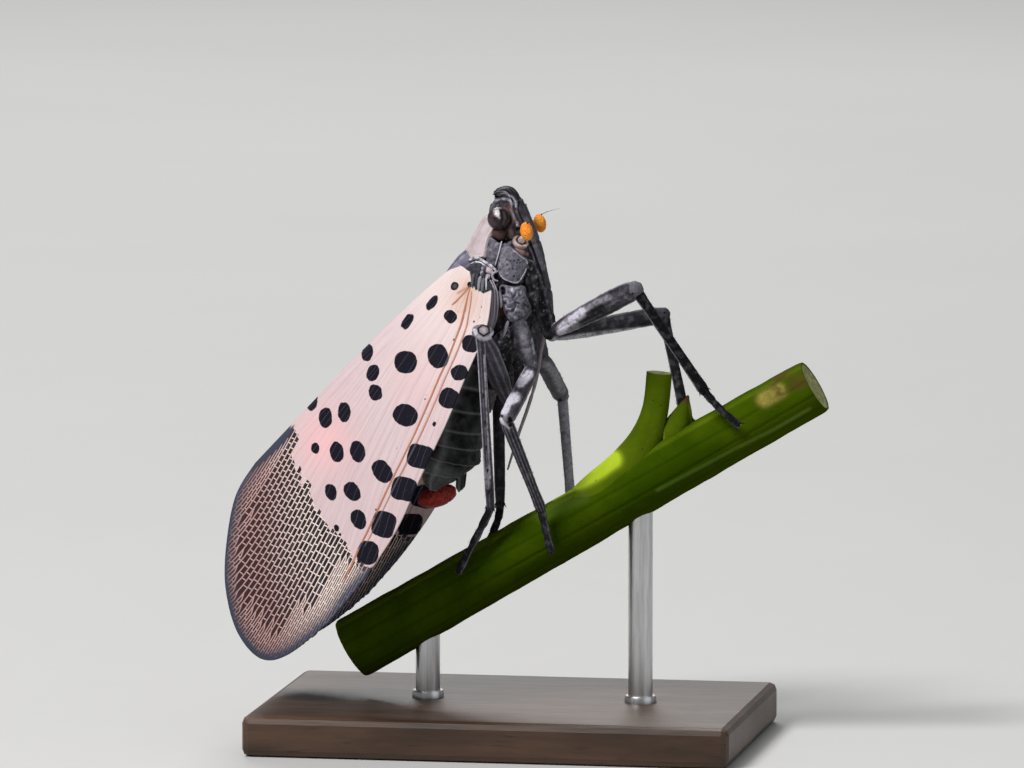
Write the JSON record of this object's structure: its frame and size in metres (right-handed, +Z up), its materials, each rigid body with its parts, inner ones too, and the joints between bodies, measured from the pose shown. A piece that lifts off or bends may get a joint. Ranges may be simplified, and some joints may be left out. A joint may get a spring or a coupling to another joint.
{
  "type": "spotted lanternfly model",
  "caption": "Still life-size spotted lanternfly, head up on a short green stem, held over a flat base by short rods.",
  "frame": {"origin": "on the underside of the stand's base, under the insect's wings and stem, on the plane of symmetry", "axes": "+X towards the side that the belly and the rising stem face, +Y to the insect's left side, +Z up"},
  "size_m": [0.0298, 0.016, 0.0274],
  "materials": {
    "body_grey": "waxy, rough",
    "leg_grey": "satin with a pale bloom",
    "abdomen_dark": "satin",
    "pronotum_beige": "matt",
    "eye_brown": "glossy",
    "antenna_orange": "matt",
    "forewing_pink": "matt membrane",
    "hindwing_red": "matt membrane",
    "stem_green": "fresh green bark",
    "base_wood": "dark stained",
    "rod_steel": "brushed"
  },
  "bodies": {
    "root": {"abdomen": "abdomen_dark", "antenna_left": "antenna_orange", "antenna_right": "antenna_orange", "eye_left": "eye_brown", "eye_right": "eye_brown", "forewing_left": "forewing_pink", "forewing_right": "forewing_pink", "head": "body_grey", "hindwing_left": "hindwing_red", "hindwing_right": "hindwing_red", "leg_fore_left_coxa": "leg_grey", "leg_fore_left_femur": "leg_grey", "leg_fore_left_tarsus": "leg_grey", "leg_fore_left_tibia": "leg_grey", "leg_fore_right_coxa": "leg_grey", "leg_fore_right_femur": "leg_grey", "leg_fore_right_tarsus": "leg_grey", "leg_fore_right_tibia": "leg_grey", "leg_hind_left_coxa": "leg_grey", "leg_hind_left_femur": "leg_grey", "leg_hind_left_tarsus": "leg_grey", "leg_hind_left_tibia": "leg_grey", "leg_hind_right_coxa": "leg_grey", "leg_hind_right_femur": "leg_grey", "leg_hind_right_tarsus": "leg_grey", "leg_hind_right_tibia": "leg_grey", "leg_mid_left_coxa": "leg_grey", "leg_mid_left_femur": "leg_grey", "leg_mid_left_tarsus": "leg_grey", "leg_mid_left_tibia": "leg_grey", "leg_mid_right_coxa": "leg_grey", "leg_mid_right_femur": "leg_grey", "leg_mid_right_tarsus": "leg_grey", "leg_mid_right_tibia": "leg_grey", "perch_stem": "stem_green", "pronotum": "pronotum_beige", "rostrum": "leg_grey", "stand_base": "base_wood", "stand_rod_high": "rod_steel", "stand_rod_low": "rod_steel", "tegula_left": "pronotum_beige", "tegula_right": "pronotum_beige", "thorax": "body_grey"}
  },
  "joints": []
}
